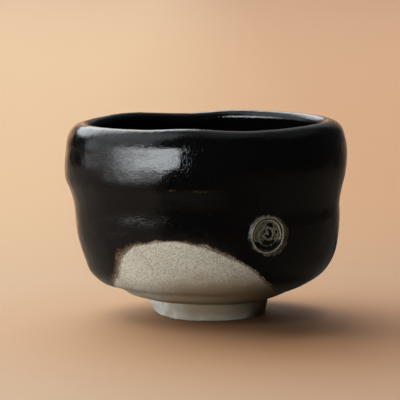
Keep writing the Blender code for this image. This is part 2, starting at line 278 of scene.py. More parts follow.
def gridPiece(name, material, cadNode, points, fields, keep=None, poles=(None, None), closed=False):
    # piece from a (row, column) grid of points whose columns go round, which takes the place of a CAD node
    rows, columns = points.shape[:2]
    index = np.arange(rows * columns).reshape(rows, columns)
    nextColumn = np.roll(index, -1, axis=1)
    if closed:  # the last row joins the first
        index, nextColumn = (np.vstack((grid, grid[:1])) for grid in (index, nextColumn))
    quads = np.stack((index[:-1], nextColumn[:-1], nextColumn[1:], index[1:]), axis=-1)
    if keep is not None:
        quads = quads[keep]
    quads = quads.reshape(-1, 4)
    vertices = points.reshape(-1, 3)
    values = {key: np.asarray(field, float).reshape(-1) for key, field in fields.items()}
    used = np.unique(quads)
    renumber = np.full(len(vertices), -1)
    renumber[used] = np.arange(len(used))
    vertices = vertices[used]
    values = {key: value[used] for key, value in values.items()}
    faces = [tuple(face) for face in renumber[quads].tolist()]
    for pole, ring, flip in ((poles[0], index[0], False), (poles[1], index[-1], True)):
        if pole is not None:
            tip = len(vertices)
            vertices = np.vstack((vertices, pole))
            values = {key: np.append(value, value[renumber[ring[0]]]) for key, value in values.items()}
            ring = renumber[ring].tolist()
            for a, b in zip(ring, ring[1:] + ring[:1]):
                faces.append((b, a, tip) if not flip else (a, b, tip))
    mesh = bpy.data.meshes.new(name)
    mesh.from_pydata(vertices.tolist(), [], faces)
    mesh.shade_smooth()
    for key, value in values.items():
        attribute = mesh.attributes.new(key, "FLOAT", "POINT")
        attribute.data.foreach_set("value", value.astype(np.float32))
    mesh.materials.append(material)
    mesh.validate()
    piece = bpy.data.objects.new(name, mesh)
    bpy.context.scene.collection.objects.link(piece)
    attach(piece, "root")
    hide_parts(cadNode)
    print(name, "made:", len(mesh.polygons), "faces")


def node(tree, kind, sockets=None, **settings):
    made = tree.nodes.new("ShaderNode" + kind)
    for key, value in settings.items():
        setattr(made, key, value)
    for key, value in (sockets or {}).items():
        if isinstance(value, bpy.types.NodeSocket):
            tree.links.new(value, made.inputs[key])
        else:
            made.inputs[key].default_value = value
    return made


def mathNode(tree, operation, a, b=0.0):
    return node(tree, "Math", {0: a, 1: b}, operation=operation).outputs[0]


def times(tree, a, b):
    return mathNode(tree, "MULTIPLY", a, b)


def plus(tree, a, b):
    return mathNode(tree, "ADD", a, b)


def rangeNode(tree, value, low, high, toLow=0.0, toHigh=1.0):
    sockets = {"Value": value, "From Min": low, "From Max": high, "To Min": toLow, "To Max": toHigh}
    return node(tree, "MapRange", sockets, interpolation_type="SMOOTHSTEP").outputs[0]


def colourMix(tree, share, a, b, blend="MIX"):
    sockets = {0: share, 6: a, 7: b}
    return node(tree, "Mix", sockets, data_type="RGBA", blend_type=blend).outputs[2]


def noiseNode(tree, place, scale, detail=2.0, roughness=0.5, distortion=0.0):
    sockets = {"Vector": place, "Scale": scale, "Detail": detail, "Roughness": roughness}
    return node(tree, "TexNoise", {**sockets, "Distortion": distortion}).outputs[0]


def cellNode(tree, place, scale, feature="F1"):
    sockets = {"Vector": place, "Scale": scale, "Randomness": 1.0}
    return node(tree, "TexVoronoi", sockets, feature=feature).outputs["Distance"]


def newGroup(name, inputs, outputs):
    # shared effect: takes the place and numbers, gives numbers
    group = bpy.data.node_groups.new(name, "ShaderNodeTree")
    group.interface.new_socket("Place", in_out="INPUT", socket_type="NodeSocketVector")
    for label, value in inputs.items():
        socket = group.interface.new_socket(label, in_out="INPUT", socket_type="NodeSocketFloat")
        socket.default_value = value
    for label in outputs:
        group.interface.new_socket(label, in_out="OUTPUT", socket_type="NodeSocketFloat")
    return group, group.nodes.new("NodeGroupInput").outputs, group.nodes.new("NodeGroupOutput").inputs


def newMaterial(name):
    material = bpy.data.materials.new(name)
    material.use_nodes = True
    tree = material.node_tree
    shader = tree.nodes["Principled BSDF"]
    place = node(tree, "TexCoord").outputs["Object"]
    return material, tree, shader, place


def attributeNode(tree, name):
    return node(tree, "Attribute", attribute_name=name).outputs["Fac"]


def effectNode(tree, effect, place):
    made = node(tree, "Group", node_tree=effect)
    tree.links.new(place, made.inputs["Place"])
    return made


def joinSurface(tree, shader, colour, roughness, height, depth):
    bump = node(tree, "Bump", {"Height": height, "Strength": 1.0, "Distance": depth})
    for key, value in (("Base Color", colour), ("Roughness", roughness), ("Normal", bump.outputs[0])):
        tree.links.new(value, shader.inputs[key])


def speckle(tree, value, noise, amount):
    # breaks a smooth mask up into grains
    return plus(tree, value, times(tree, mathNode(tree, "SUBTRACT", noise, 0.5), amount))


def sandGrainGroup():
    # coarse sandy clay: fine grain, pits where sand fell out, and hairlines left by the turning bowl
    group, given, out = newGroup(
        "sandGrain",
        {"Grain Scale": 1900.0, "Pit Scale": 1400.0, "Pit Share": 0.2, "Line Scale": 2600.0},
        ["Grain", "Pits", "Lines", "Height"],
    )
    grain = noiseNode(group, given["Place"], given["Grain Scale"], 3.0, 0.65)
    cells = cellNode(group, given["Place"], given["Pit Scale"])
    patch = noiseNode(group, given["Place"], 260.0, 2.0)
    reach = times(group, given["Pit Share"], rangeNode(group, patch, 0.35, 0.7, 0.4, 1.6))
    near = mathNode(group, "DIVIDE", cells, plus(group, reach, 0.01))
    pits = rangeNode(group, near, 0.75, 1.1, 1.0, 0.0)
    wobble = noiseNode(group, given["Place"], 45.0, 1.0)
    split = node(group, "SeparateXYZ", {0: given["Place"]}).outputs
    level = plus(group, split[2], times(group, wobble, 0.0025))
    squeezed = {0: times(group, split[0], 0.42), 1: times(group, split[1], 0.42), 2: level}
    flat = node(group, "CombineXYZ", squeezed)
    across = noiseNode(group, flat.outputs[0], given["Line Scale"], 2.0, 0.6)
    upright = node(group, "Mapping", {"Vector": given["Place"], "Scale": (1.0, 1.0, 0.4)}).outputs[0]
    upright = noiseNode(group, upright, given["Line Scale"], 2.0, 0.6)
    lines = times(group, plus(group, across, upright), 0.5)
    group.links.new(grain, out["Grain"])
    group.links.new(pits, out["Pits"])
    group.links.new(lines, out["Lines"])
    raised = plus(group, times(group, grain, 0.6), times(group, lines, 0.4))
    group.links.new(mathNode(group, "SUBTRACT", raised, times(group, pits, 0.6)), out["Height"])
    return group


def ironStainGroup():
    # rusty brown specks and clouds that the fire draws out of the clay
    group, given, out = newGroup(
        "ironStain",
        {"Speck Scale": 900.0, "Cloud Scale": 70.0, "Amount": 0.5},
        ["Specks", "Clouds"],
    )
    cells = cellNode(group, given["Place"], given["Speck Scale"])
    reach = times(group, given["Amount"], 0.4)
    specks = rangeNode(group, mathNode(group, "SUBTRACT", cells, reach), 0.0, 0.08, 1.0, 0.0)
    clouds = noiseNode(group, given["Place"], given["Cloud Scale"], 4.0, 0.6, 0.3)
    clouds = rangeNode(group, clouds, 0.42, 0.68)
    group.links.new(specks, out["Specks"])
    group.links.new(clouds, out["Clouds"])
    return group


def meltSkinGroup():
    # skin of a melted glaze: broad flow, orange peel, fine folds and the odd pinhole
    group, given, out = newGroup(
        "meltSkin",
        {"Flow Scale": 240.0, "Peel Scale": 1000.0, "Peel": 1.0},
        ["Height", "Patches"],
    )
    squeeze = node(group, "Mapping", {"Vector": given["Place"], "Scale": (1.0, 1.0, 1.7)}).outputs[0]
    flow = noiseNode(group, squeeze, given["Flow Scale"], 2.0, 0.5)
    peel = noiseNode(group, squeeze, given["Peel Scale"], 2.0, 0.6)
    patches = rangeNode(group, noiseNode(group, given["Place"], 45.0, 2.0), 0.35, 0.7)
    pinholes = rangeNode(group, cellNode(group, given["Place"], 420.0), 0.035, 0.09, 1.0, 0.0)
    bend = node(group, "TexNoise", {"Vector": given["Place"], "Scale": 500.0, "Detail": 1.0}).outputs["Color"]
    sockets = {0: bend, 1: (0.0013, 0.0013, 0.0009), 2: given["Place"]}
    bent = node(group, "VectorMath", sockets, operation="MULTIPLY_ADD").outputs[0]
    folds = cellNode(group, bent, 820.0, "DISTANCE_TO_EDGE")
    folds = times(group, rangeNode(group, folds, 0.0, 0.18), 0.14)
    peelHeight = times(group, plus(group, times(group, peel, 0.40), folds), given["Peel"])
    peelHeight = times(group, peelHeight, rangeNode(group, patches, 0, 1, 0.55, 1.15))
    height = plus(group, times(group, flow, 0.42), peelHeight)
    group.links.new(mathNode(group, "SUBTRACT", height, times(group, pinholes, 0.8)), out["Height"])
    group.links.new(patches, out["Patches"])
    return group


sandGrain = sandGrainGroup()
ironStain = ironStainGroup()
meltSkin = meltSkinGroup()
print("shared effects ready")


glazeFinish = {
    "black": (0.0022, 0.0021, 0.0023, 1),
    "brown": (0.075, 0.042, 0.020, 1),
    "gold": (0.26, 0.19, 0.11, 1),
    "roughness": (0.05, 0.17),
    "peelDepth": 0.00014,
}


def blackGlazeMaterial():
    material, tree, shader, place = newMaterial("blackGlaze")
    skin = effectNode(tree, meltSkin, place)
    thin = attributeNode(tree, "thin")
    frit = noiseNode(tree, place, 1500.0, 2.0, 0.7)
    uneven = speckle(tree, thin, frit, 1.1)
    colour = colourMix(tree, rangeNode(tree, uneven, 0.35, 0.75), glazeFinish["black"], glazeFinish["brown"])
    colour = colourMix(tree, rangeNode(tree, uneven, 0.80, 1.10), colour, glazeFinish["gold"])
    low, high = glazeFinish["roughness"]
    gloss = rangeNode(tree, skin.outputs["Patches"], 0, 1, low, mix(low, high, 0.35))
    gloss = plus(tree, gloss, rangeNode(tree, thin, 0.4, 1.0, 0.0, 0.35))
    shader.inputs["IOR"].default_value = 1.5
    joinSurface(tree, shader, colour, gloss, skin.outputs["Height"], glazeFinish["peelDepth"])
    return material


clayFinish = {
    "pale": (0.88, 0.805, 0.640, 1),
    "grey": (0.74, 0.660, 0.505, 1),
    "warm": (0.45, 0.305, 0.172, 1),
    "rust": (0.115, 0.070, 0.036, 1),
    # darker tone for the hairline grooves and the pits
    "grooveTone": (0.20, 0.165, 0.125, 1),
    "grainDepth": 0.00016,
}


def bareClayMaterial():
    material, tree, shader, place = newMaterial("bareClay")
    grain = effectNode(tree, sandGrain, place)
    stain = effectNode(tree, ironStain, place)
    colour = colourMix(tree, stain.outputs["Clouds"], clayFinish["pale"], clayFinish["grey"])
    fine = rangeNode(tree, grain.outputs["Grain"], 0.30, 0.70)
    colour = colourMix(tree, times(tree, fine, 0.25), colour, clayFinish["grey"])
    # darker along the hairline grooves and in the pits
    darkLines = rangeNode(tree, grain.outputs["Lines"], 0.38, 0.56, 0.55, 0.0)
    colour = colourMix(tree, darkLines, colour, clayFinish["grooveTone"])
    colour = colourMix(tree, times(tree, grain.outputs["Pits"], 0.30), colour, clayFinish["grooveTone"])
    low = attributeNode(tree, "lowness")  # 1 beside the foot, 0 higher up the wall
    colour = colourMix(tree, times(tree, low, 0.95), colour, clayFinish["warm"])
    edge = attributeNode(tree, "edge")  # 1 along the glaze's edge
    frit = noiseNode(tree, place, 1500.0, 2.0, 0.7)
    rusty = rangeNode(tree, speckle(tree, edge, frit, 1.4), 0.45, 1.15, 0.0, 0.95)
    colour = colourMix(tree, rusty, colour, clayFinish["rust"])
    dullness = rangeNode(tree, grain.outputs["Grain"], 0.3, 0.7, 0.85, 1.0)
    shader.inputs["Specular IOR Level"].default_value = 0.25
    joinSurface(tree, shader, colour, dullness, grain.outputs["Height"], clayFinish["grainDepth"])
    return material


footFinish = {
    "chalk": (0.66, 0.64, 0.55, 1),
    "grey": (0.44, 0.40, 0.32, 1),
    # brown of the shade painted on the foot
    "shadeBrown": (0.29, 0.225, 0.150, 1),
    "chip": (0.33, 0.31, 0.27, 1),
    "rust": (0.26, 0.19, 0.13, 1),
    "grainDepth": 0.00014,
}


def footClayMaterial():
    material, tree, shader, place = newMaterial("footClay")
    grain = effectNode(tree, sandGrain, place)
    grain.inputs["Grain Scale"].default_value = 1700.0
    grain.inputs["Pit Share"].default_value = 0.16
    stain = effectNode(tree, ironStain, place)
    stain.inputs["Cloud Scale"].default_value = 160.0
    stain.inputs["Amount"].default_value = 0.25
    colour = colourMix(tree, stain.outputs["Clouds"], footFinish["chalk"], footFinish["grey"])
    colour = colourMix(tree, times(tree, grain.outputs["Pits"], 0.6), colour, footFinish["chip"])
    paintedShade = attributeNode(tree, "paintedShade")  # 1 where shade is painted on the foot: browner at its right and its top
    colour = colourMix(tree, paintedShade, colour, footFinish["shadeBrown"])
    rough = attributeNode(tree, "broken")  # 1 where the edge has crumbled
    colour = colourMix(tree, times(tree, rough, 0.4), colour, footFinish["chip"])
    colour = colourMix(tree, times(tree, stain.outputs["Specks"], 0.35), colour, footFinish["rust"])
    dullness = rangeNode(tree, grain.outputs["Grain"], 0.3, 0.7, 0.88, 1.0)
    shader.inputs["Specular IOR Level"].default_value = 0.2
    joinSurface(tree, shader, colour, dullness, grain.outputs["Height"], footFinish["grainDepth"])
    return material


sealFinish = {
    "olive": (0.18, 0.16, 0.105, 1),
    "pale": (0.64, 0.59, 0.43, 1),
    "umber": (0.040, 0.029, 0.018, 1),
    "black": (0.004, 0.004, 0.004, 1),
    "grainDepth": 0.00022,
}


def stampedClayMaterial():
    material, tree, shader, place = newMaterial("stampedClay")
    grain = effectNode(tree, sandGrain, place)
    grain.inputs["Grain Scale"].default_value = 2200.0
    grain.inputs["Pit Scale"].default_value = 1200.0
    frit = noiseNode(tree, place, 1500.0, 3.0, 0.75)
    colour = colourMix(tree, rangeNode(tree, frit, 0.38, 0.60), sealFinish["umber"], sealFinish["olive"])
    colour = colourMix(tree, rangeNode(tree, frit, 0.54, 0.70, 0.0, 0.8), colour, sealFinish["pale"])
    worn = attributeNode(tree, "raised")  # 1 on the ring lines and the mark
    fine = rangeNode(tree, grain.outputs["Grain"], 0.35, 0.65)
    worn = times(tree, worn, rangeNode(tree, fine, 0, 1, 0.35, 1.0))
    colour = colourMix(tree, worn, colour, sealFinish["pale"])
    melted = attributeNode(tree, "glazed")  # 1 where glaze pooled or covers the collar
    pooled = rangeNode(tree, plus(tree, melted, times(tree, fine, 0.25)), 0.45, 0.75)
    colour = colourMix(tree, pooled, colour, sealFinish["black"])
    dullness = rangeNode(tree, pooled, 0, 1, 0.6, 0.14)
    joinSurface(tree, shader, colour, dullness, grain.outputs["Height"], sealFinish["grainDepth"])
    return material


blackGlaze = blackGlazeMaterial()
bareClay = bareClayMaterial()
footClay = footClayMaterial()
stampedClay = stampedClayMaterial()
print("materials ready")


claySurface = {
    "frontStep": 0.5,  # degrees between columns at the front
    "backStep": 1.4,
    "fineStep": 0.00042,  # metres between rows on the bare wall
    "bareTop": 0.0395,
    "grain": 0.000045,
    "lumps": 0.00010,
    "ridges": 0.000035,
    "cone": 0.0012,  # how far the underside sinks round its middle
    "spiral": 0.00009,  # tool mark under the bowl: depth and spacing
    "spiralStep": 0.0019,
    "rustReach": 0.75,  # rust on the clay, as a share of the fringe's width
    "brownTop": 0.0275,  # below this the clay turns brown, and lower down at the left
    "brownDrop": 0.0095,
    "brownFade": 0.0150,
}

columns = columnAngles(claySurface["frontStep"], claySurface["backStep"])
columnControls = sectionControls(columns)


def gridOf(places):
    return np.stack([bowlPoints(columns, columnControls, place) for place in places])


def azimuthsOf(points):
    return np.degrees(np.arctan2(points[..., 1], points[..., 0]))


def lineDistance(points):
    # distance up the wall from the glaze's edge, below zero on the bare side
    azimuths = azimuthsOf(points)
    over = points[..., 2] - around(bowlForm["glazeLine"], azimuths)
    alongStep = np.linalg.norm(np.gradient(points, axis=0), axis=2) + 1e-9
    acrossStep = np.linalg.norm((np.roll(points, -1, axis=1) - np.roll(points, 1, axis=1)) / 2, axis=2) + 1e-9
    alongSlope = np.gradient(over, axis=0) / alongStep
    acrossSlope = (np.roll(over, -1, axis=1) - np.roll(over, 1, axis=1)) / 2 / acrossStep
    return over / np.maximum(0.35, np.hypot(alongSlope, acrossSlope))


def clayRelief(points):
    sand = roughHills(points, 0.0011, 11, 2) * claySurface["grain"]
    lumps = roughHills(points, 0.009, 23, 3) * claySurface["lumps"]
    flat = points * np.array((0.06, 0.06, 1.0))
    ridges = roughHills(flat, 0.0016, 31, 2) * claySurface["ridges"]
    return sand + lumps + ridges


def footCircle(radius, turn, height):
    # points round the foot's middle
    x = bowlForm["footCentre"] + radius * np.cos(turn)
    return np.stack((x, radius * np.sin(turn), height + 0 * turn), axis=-1)


def makeClayBody():
    base = bowlForm["base"]
    bareTopPlace = placeOfHeight(sectionControls([-90.0]), claySurface["bareTop"])[0]
    places = np.concatenate((
        spreadPlaces(0, bareTopPlace, claySurface["fineStep"])[:-1],
        spreadPlaces(bareTopPlace, crestPlace, 0.003)[:-1],
        spreadPlaces(crestPlace, crestPlace + 2, 0.001)[:-1],
        spreadPlaces(crestPlace + 2, lastPlace, 0.004)[:-1],
    ))
    skin = gridOf(places)
    inside = places > crestPlace
    fade = smoothStep((claySurface["bareTop"] - skin[..., 2]) / 0.002) * ~inside[:, None]
    skin = skin + gridNormals(skin) * (clayRelief(skin) * fade)[..., None]
    # underside inside the foot: a spiral left by the trimming tool, rising to a low cone
    footReach = (footHigh[0] - footLow[0]) / 2
    radii = np.linspace(0.0004, footReach - 0.0070, 26)
    turn = np.radians(columns)
    under = []
    for radius in radii:
        cone = claySurface["cone"] * smoothStep(radius / 0.011)
        spiral = claySurface["spiral"] * np.cos(2 * math.pi * radius / claySurface["spiralStep"] - turn)
        under.append(footCircle(radius, turn, base + 0.00015 + cone + spiral * smoothStep(radius / 0.003)))
    under.append(footCircle(footReach - 0.006, turn, base))
    points = np.concatenate((np.stack(under), skin))
    distance = lineDistance(points)
    onWall = np.zeros(points.shape[:2])
    onWall[len(under) :] = (~inside)[:, None]
    azimuths = azimuthsOf(points)
    spread = 0.0004 + claySurface["rustReach"] * around(bowlForm["fringe"], azimuths)
    edge = smoothStep(1 - np.abs(distance + 0.0004 * roughHills(points, 0.003, 41)) / spread) * onWall
    leftness = smoothStep((-98 - azimuths) / 34)
    lowness = claySurface["brownTop"] - points[..., 2] - claySurface["brownDrop"] * leftness
    lowness = smoothStep(lowness / claySurface["brownFade"] + 0.22 * roughHills(points, 0.006, 43))
    tip = np.array((bowlForm["footCentre"], 0, base + 0.00012))
    floorTip = bowlPoints(np.array([0.0]), sectionControls([0.0]), lastPlace)[0]
    fields = {"edge": edge, "lowness": lowness}
    gridPiece("bowlClay", bareClay, "clay_body", points, fields, poles=(tip, floorTip))


makeClayBody()


glazeCoat = {
    "thickness": 0.0010,
    "edgeBlend": 0.0090,  # how far from its edge the coat reaches full thickness
    "ragged": 0.00080,
    "waves": 0.00010,
    "scratch": {"height": 0.0578, "from": -112, "to": -78, "width": 0.0005},  # brown turning line
    "overlap": 0.0120,  # how far the coat runs down inside the lip
    "lowest": 0.0078,  # rows are closer together from here up to "fineTop"
    "fineTop": 0.0420,
    "lowStep": 0.00050,
    "highStep": 0.00085,
    "tuck": 0.0011,  # how far the coat's hidden edge runs on into the clay
}


def coatThickness(points, distance):
    ragged = glazeCoat["ragged"] * (roughHills(points, 0.0042, 51, 3) + 0.45 * hills(points, 0.0009, 53))
    reach = distance + ragged
    grown = glazeCoat["thickness"] * (1 - np.exp(-np.maximum(reach, 0) / (glazeCoat["edgeBlend"] / 2.2)))
    sunk = -0.00012 + np.minimum(reach, 0) * 0.35
    lift = np.where(reach > 0, grown + sunk * np.exp(-np.maximum(reach, 0) / 0.0003), sunk)
    full = smoothStep(reach / glazeCoat["edgeBlend"])
    stretched = points * np.array((1.0, 1.0, 1.5))
    waves = glazeCoat["waves"] * (roughHills(stretched, 0.0075, 61, 2) + 0.35 * hills(points, 0.0026, 67))
    return lift + waves * full, reach


def makeOuterGlaze():
    frontControls = sectionControls([-90.0])
    lowPlace = placeOfHeight(frontControls, glazeCoat["lowest"])[0]
    midPlace = placeOfHeight(frontControls, glazeCoat["fineTop"])[0]
    inner = spreadPlaces(crestPlace + 2, lastPlace, glazeCoat["highStep"])
    heights = onSection(np.repeat(frontControls, len(inner), axis=0), inner)[0][:, 1]
    inner = inner[heights > clayHigh[2] - glazeCoat["overlap"]]
    places = np.concatenate((
        spreadPlaces(lowPlace, midPlace, glazeCoat["lowStep"])[:-1],
        spreadPlaces(midPlace, crestPlace - 3, glazeCoat["highStep"])[:-1],
        spreadPlaces(crestPlace - 3, crestPlace + 2, 0.0006)[:-1],
        inner,
    ))
    skin = gridOf(places)
    distance = lineDistance(skin)
    distance[places > crestPlace - 2] = 0.03
    lift, reach = coatThickness(skin, distance)
    # the last rows inside the lip dive under the liner
    lift[-2] -= 0.00010
    lift[-1] -= 0.00035
    points = skin + gridNormals(skin) * lift[..., None]
    covered = reach > -glazeCoat["tuck"]
    covered = covered & np.roll(covered, -1, axis=1)
    keep = covered[:-1] & covered[1:]
    azimuths = azimuthsOf(points)
    fringe = around(bowlForm["fringe"], azimuths) * (1 + 0.5 * roughHills(points, 0.004, 57))
    thin = 1 - smoothStep((reach - 0.0001) / fringe)
    scratch = glazeCoat["scratch"]
    level = points[..., 2] - scratch["height"] - 0.0005 * hills(points, 0.012, 58)
    line = np.exp(-((level / scratch["width"]) ** 2)) * smoothStep((azimuths - scratch["from"]) / 8)
    line = line * smoothStep((scratch["to"] - azimuths) / 8) * (0.80 + 0.35 * hills(points, 0.0035, 59))
    thin = np.maximum(thin, line)
    gridPiece("outerGlaze", blackGlaze, "outer_glaze", points, {"thin": thin}, keep=keep)


makeOuterGlaze()


linerForm = {"step": 0.0011, "poolRise": 0.0004}


def makeInnerGlaze():
    frontControls = sectionControls([-90.0])
    inner = spreadPlaces(crestPlace + 2, lastPlace, linerForm["step"])
    heights = onSection(np.repeat(frontControls, len(inner), axis=0), inner)[0][:, 1]
    places = inner[heights < clayHigh[2] - glazeCoat["overlap"] + 0.0016][:-1]
    skin = gridOf(places)
    lift = coatThickness(skin, np.full(skin.shape[:2], 0.03))[0]
    lift[0] -= 0.0005
    lift[1] -= 0.00006
    radius = np.hypot(skin[..., 0], skin[..., 1])
    lift = lift + linerForm["poolRise"] * (1 - smoothStep(radius / bowlForm["poolRadius"]))
    points = skin + gridNormals(skin) * lift[..., None]
    tip = bowlPoints(np.array([0.0]), sectionControls([0.0]), lastPlace, glazeCoat["thickness"])[0]
    tip = tip + np.array((0, 0, linerForm["poolRise"]))
    fields = {"thin": np.zeros(points.shape[:2])}
    gridPiece("innerGlaze", blackGlaze, "inner_glaze", points, fields, poles=(None, tip))


makeInnerGlaze()


footForm = {
    "wall": 0.0068,
    "facets": [(-140, 0.0011), (52, 0.0008), (128, 0.0010)],
    # knife cuts that take off the lower corner: azimuth, half width in degrees, depth
    "cuts": [(-164, 46, 0.0034), (-14, 40, 0.0014), (80, 34, 0.0016)],
    "cutHeight": 0.0050,
    "undercut": 0.0003,
    "corner": 0.0007,
    "chips": 0.0004,
    "grain": 0.00005,
    "lumps": 0.00012,
    "dents": 0.00045,  # how deep the resting face is pitted
    "shadeFrom": -150,  # azimuth where the foot's painted shade starts, and over how many degrees it grows
    "shadeGrows": 46,
}


def makeFootRing():
    radius = (footHigh[0] - footLow[0]) / 2
    top = footHigh[2]
    inner = radius - footForm["wall"]
    azimuths = np.linspace(-180, 180, 420, endpoint=False)
    turn = np.radians(azimuths)
    reach = np.full_like(azimuths, radius)
    for middle, depth in footForm["facets"]:
        facing = np.cos(np.radians(azimuths - middle))
        flat = (radius - depth) / np.maximum(0.5, facing)
        reach = np.where(facing > 0.5, np.minimum(reach, flat), reach)
    cut = np.zeros_like(azimuths)
    for middle, halfWidth, depth in footForm["cuts"]:
        offset = np.abs((azimuths - middle + 180) % 360 - 180) / halfWidth
        cut = cut + depth * smoothStep((1 - offset) / 0.95)

    def outerReach(height):
        return reach + 0.0001 - cut * np.clip(1 - height / footForm["cutHeight"], 0, 1)

    corner = footForm["corner"]
    rows, crumble = [], []
    for i in range(19):
        share = i / 18
        height = mix(top + 0.0003, corner, share)
        rows.append((outerReach(height) - footForm["undercut"] * math.sin(math.pi * share) * 0.6, height))
        crumble.append(share)
    for angle in (22, 45, 68, 90):
        a = math.radians(angle)
        height = corner * (1 - math.sin(a))
        rows.append((outerReach(height) - corner * (1 - math.cos(a)), height))
        crumble.append(1.0)
    for i in range(1, 14):
        rows.append((mix(outerReach(0) - corner, inner + corner, i / 14), 0.0))
        crumble.append(0.6)
    for angle in (90, 60, 30, 0):
        a = math.radians(angle)
        innerReach = np.full_like(reach, inner) + corner * (1 - math.cos(a))
        rows.append((innerReach, corner * (1 - math.sin(a))))
        crumble.append(0.7)
    for i in range(1, 15):
        rows.append((np.full_like(reach, inner), mix(corner, top + 0.0003, i / 14)))
        crumble.append(0.2)
    points = np.stack([footCircle(reachHere, turn, height) for reachHere, height in rows])
    crumble = np.array(crumble)[:, None]
    outward = np.stack((np.cos(turn), np.sin(turn), 0 * turn), axis=-1)[None]
    chips = np.clip(roughHills(points, 0.0042, 71, 3) - 0.12, 0, 1) * 1.6
    lower = smoothStep((0.0034 - points[..., 2]) / 0.0030)
    onOutside = (np.arange(len(rows)) < 23)[:, None]
    chipDepth = footForm["chips"] * chips * lower * onOutside
    sand = roughHills(points, 0.0010, 73, 2) * footForm["grain"]
    sand = sand + roughHills(points, 0.005, 79, 2) * footForm["lumps"]
    points = points + outward * ((sand - chipDepth) * np.where(onOutside, 1, -0.6))[..., None]
    dents = np.maximum(0, roughHills(points, 0.0036, 83, 3)) * footForm["dents"]
    points[..., 2] += np.where(crumble >= 0.6, dents, 0)
    points[..., 2] = np.maximum(points[..., 2], 0)
    broken = np.clip(chips * lower * 2.2 * onOutside, 0, 1)
    azimuths = np.broadcast_to(azimuths, points.shape[:2])
    # painted shade: browner from the front round to the right, less at the back right and near the bottom,
    # with random mottling
    paintedShade = smoothStep((azimuths - footForm["shadeFrom"]) / footForm["shadeGrows"])
    paintedShade = paintedShade * (1 - 0.55 * smoothStep((azimuths - 20) / 60))
    paintedShade = paintedShade * (1 - 0.30 * smoothStep((0.0045 - points[..., 2]) / 0.004))
    paintedShade = paintedShade + 0.18 * roughHills(points, 0.006, 85, 3)
    fields = {"broken": broken, "paintedShade": np.clip(paintedShade, 0, 1)}
    gridPiece("footRing", footClay, "foot_ring", points, fields, closed=True)


makeFootRing()


sealForm = {
    "azimuth": -63.7,
    "height": 0.0394,
    "ring": 0.0073,  # radius of the outer raised line
    "ringGap": 0.0012,
    "lineWidth": 0.00028,
    "lineRise": 0.00028,
    "collar": 0.0085,
    "crescent": 0.0018,  # how much wider the collar is at the lower right
    "ragged": 0.0009,
    "padRise": 0.0013,
    "fieldDepth": 0.00040,
    "markWidth": 0.0010,
    "markRise": 0.00022,
    "markTurns": 2.0,
    "poolTop": -0.0016,  # glaze pooled in the field below this level
}


def sealFrame():
    controls = sectionControls([sealForm["azimuth"]])
    azimuth = np.array([sealForm["azimuth"]])
    place = placeOfHeight(controls, sealForm["height"])
    origin = Vector(bowlPoints(azimuth, controls, place)[0])
    normal = (Vector(bowlPoints(azimuth, controls, place, 0.001)[0]) - origin).normalized()
    across = Vector((0, 0, 1)).cross(normal).normalized()
    up = normal.cross(across)
    matrix = Matrix((across, up, normal)).transposed().to_4x4()
    matrix.translation = origin
    return matrix


def wallDepth(matrix, across, up):
    # how far behind the seal's plane the clay wall lies
    toFrame = np.array(matrix.inverted())
    azimuth = np.full(across.shape, float(sealForm["azimuth"]))
    height = np.full(across.shape, sealForm["height"])
    for _ in range(5):
        controls = sectionControls(azimuth)
        places = placeOfHeight(controls, height)
        found = bowlPoints(azimuth, controls, places) @ toFrame[:3, :3].T + toFrame[:3, 3]
        azimuth = azimuth + np.degrees((across - found[:, 0]) / bowlForm["halfWidth"])
        height = height + up - found[:, 1]
    return found[:, 2]


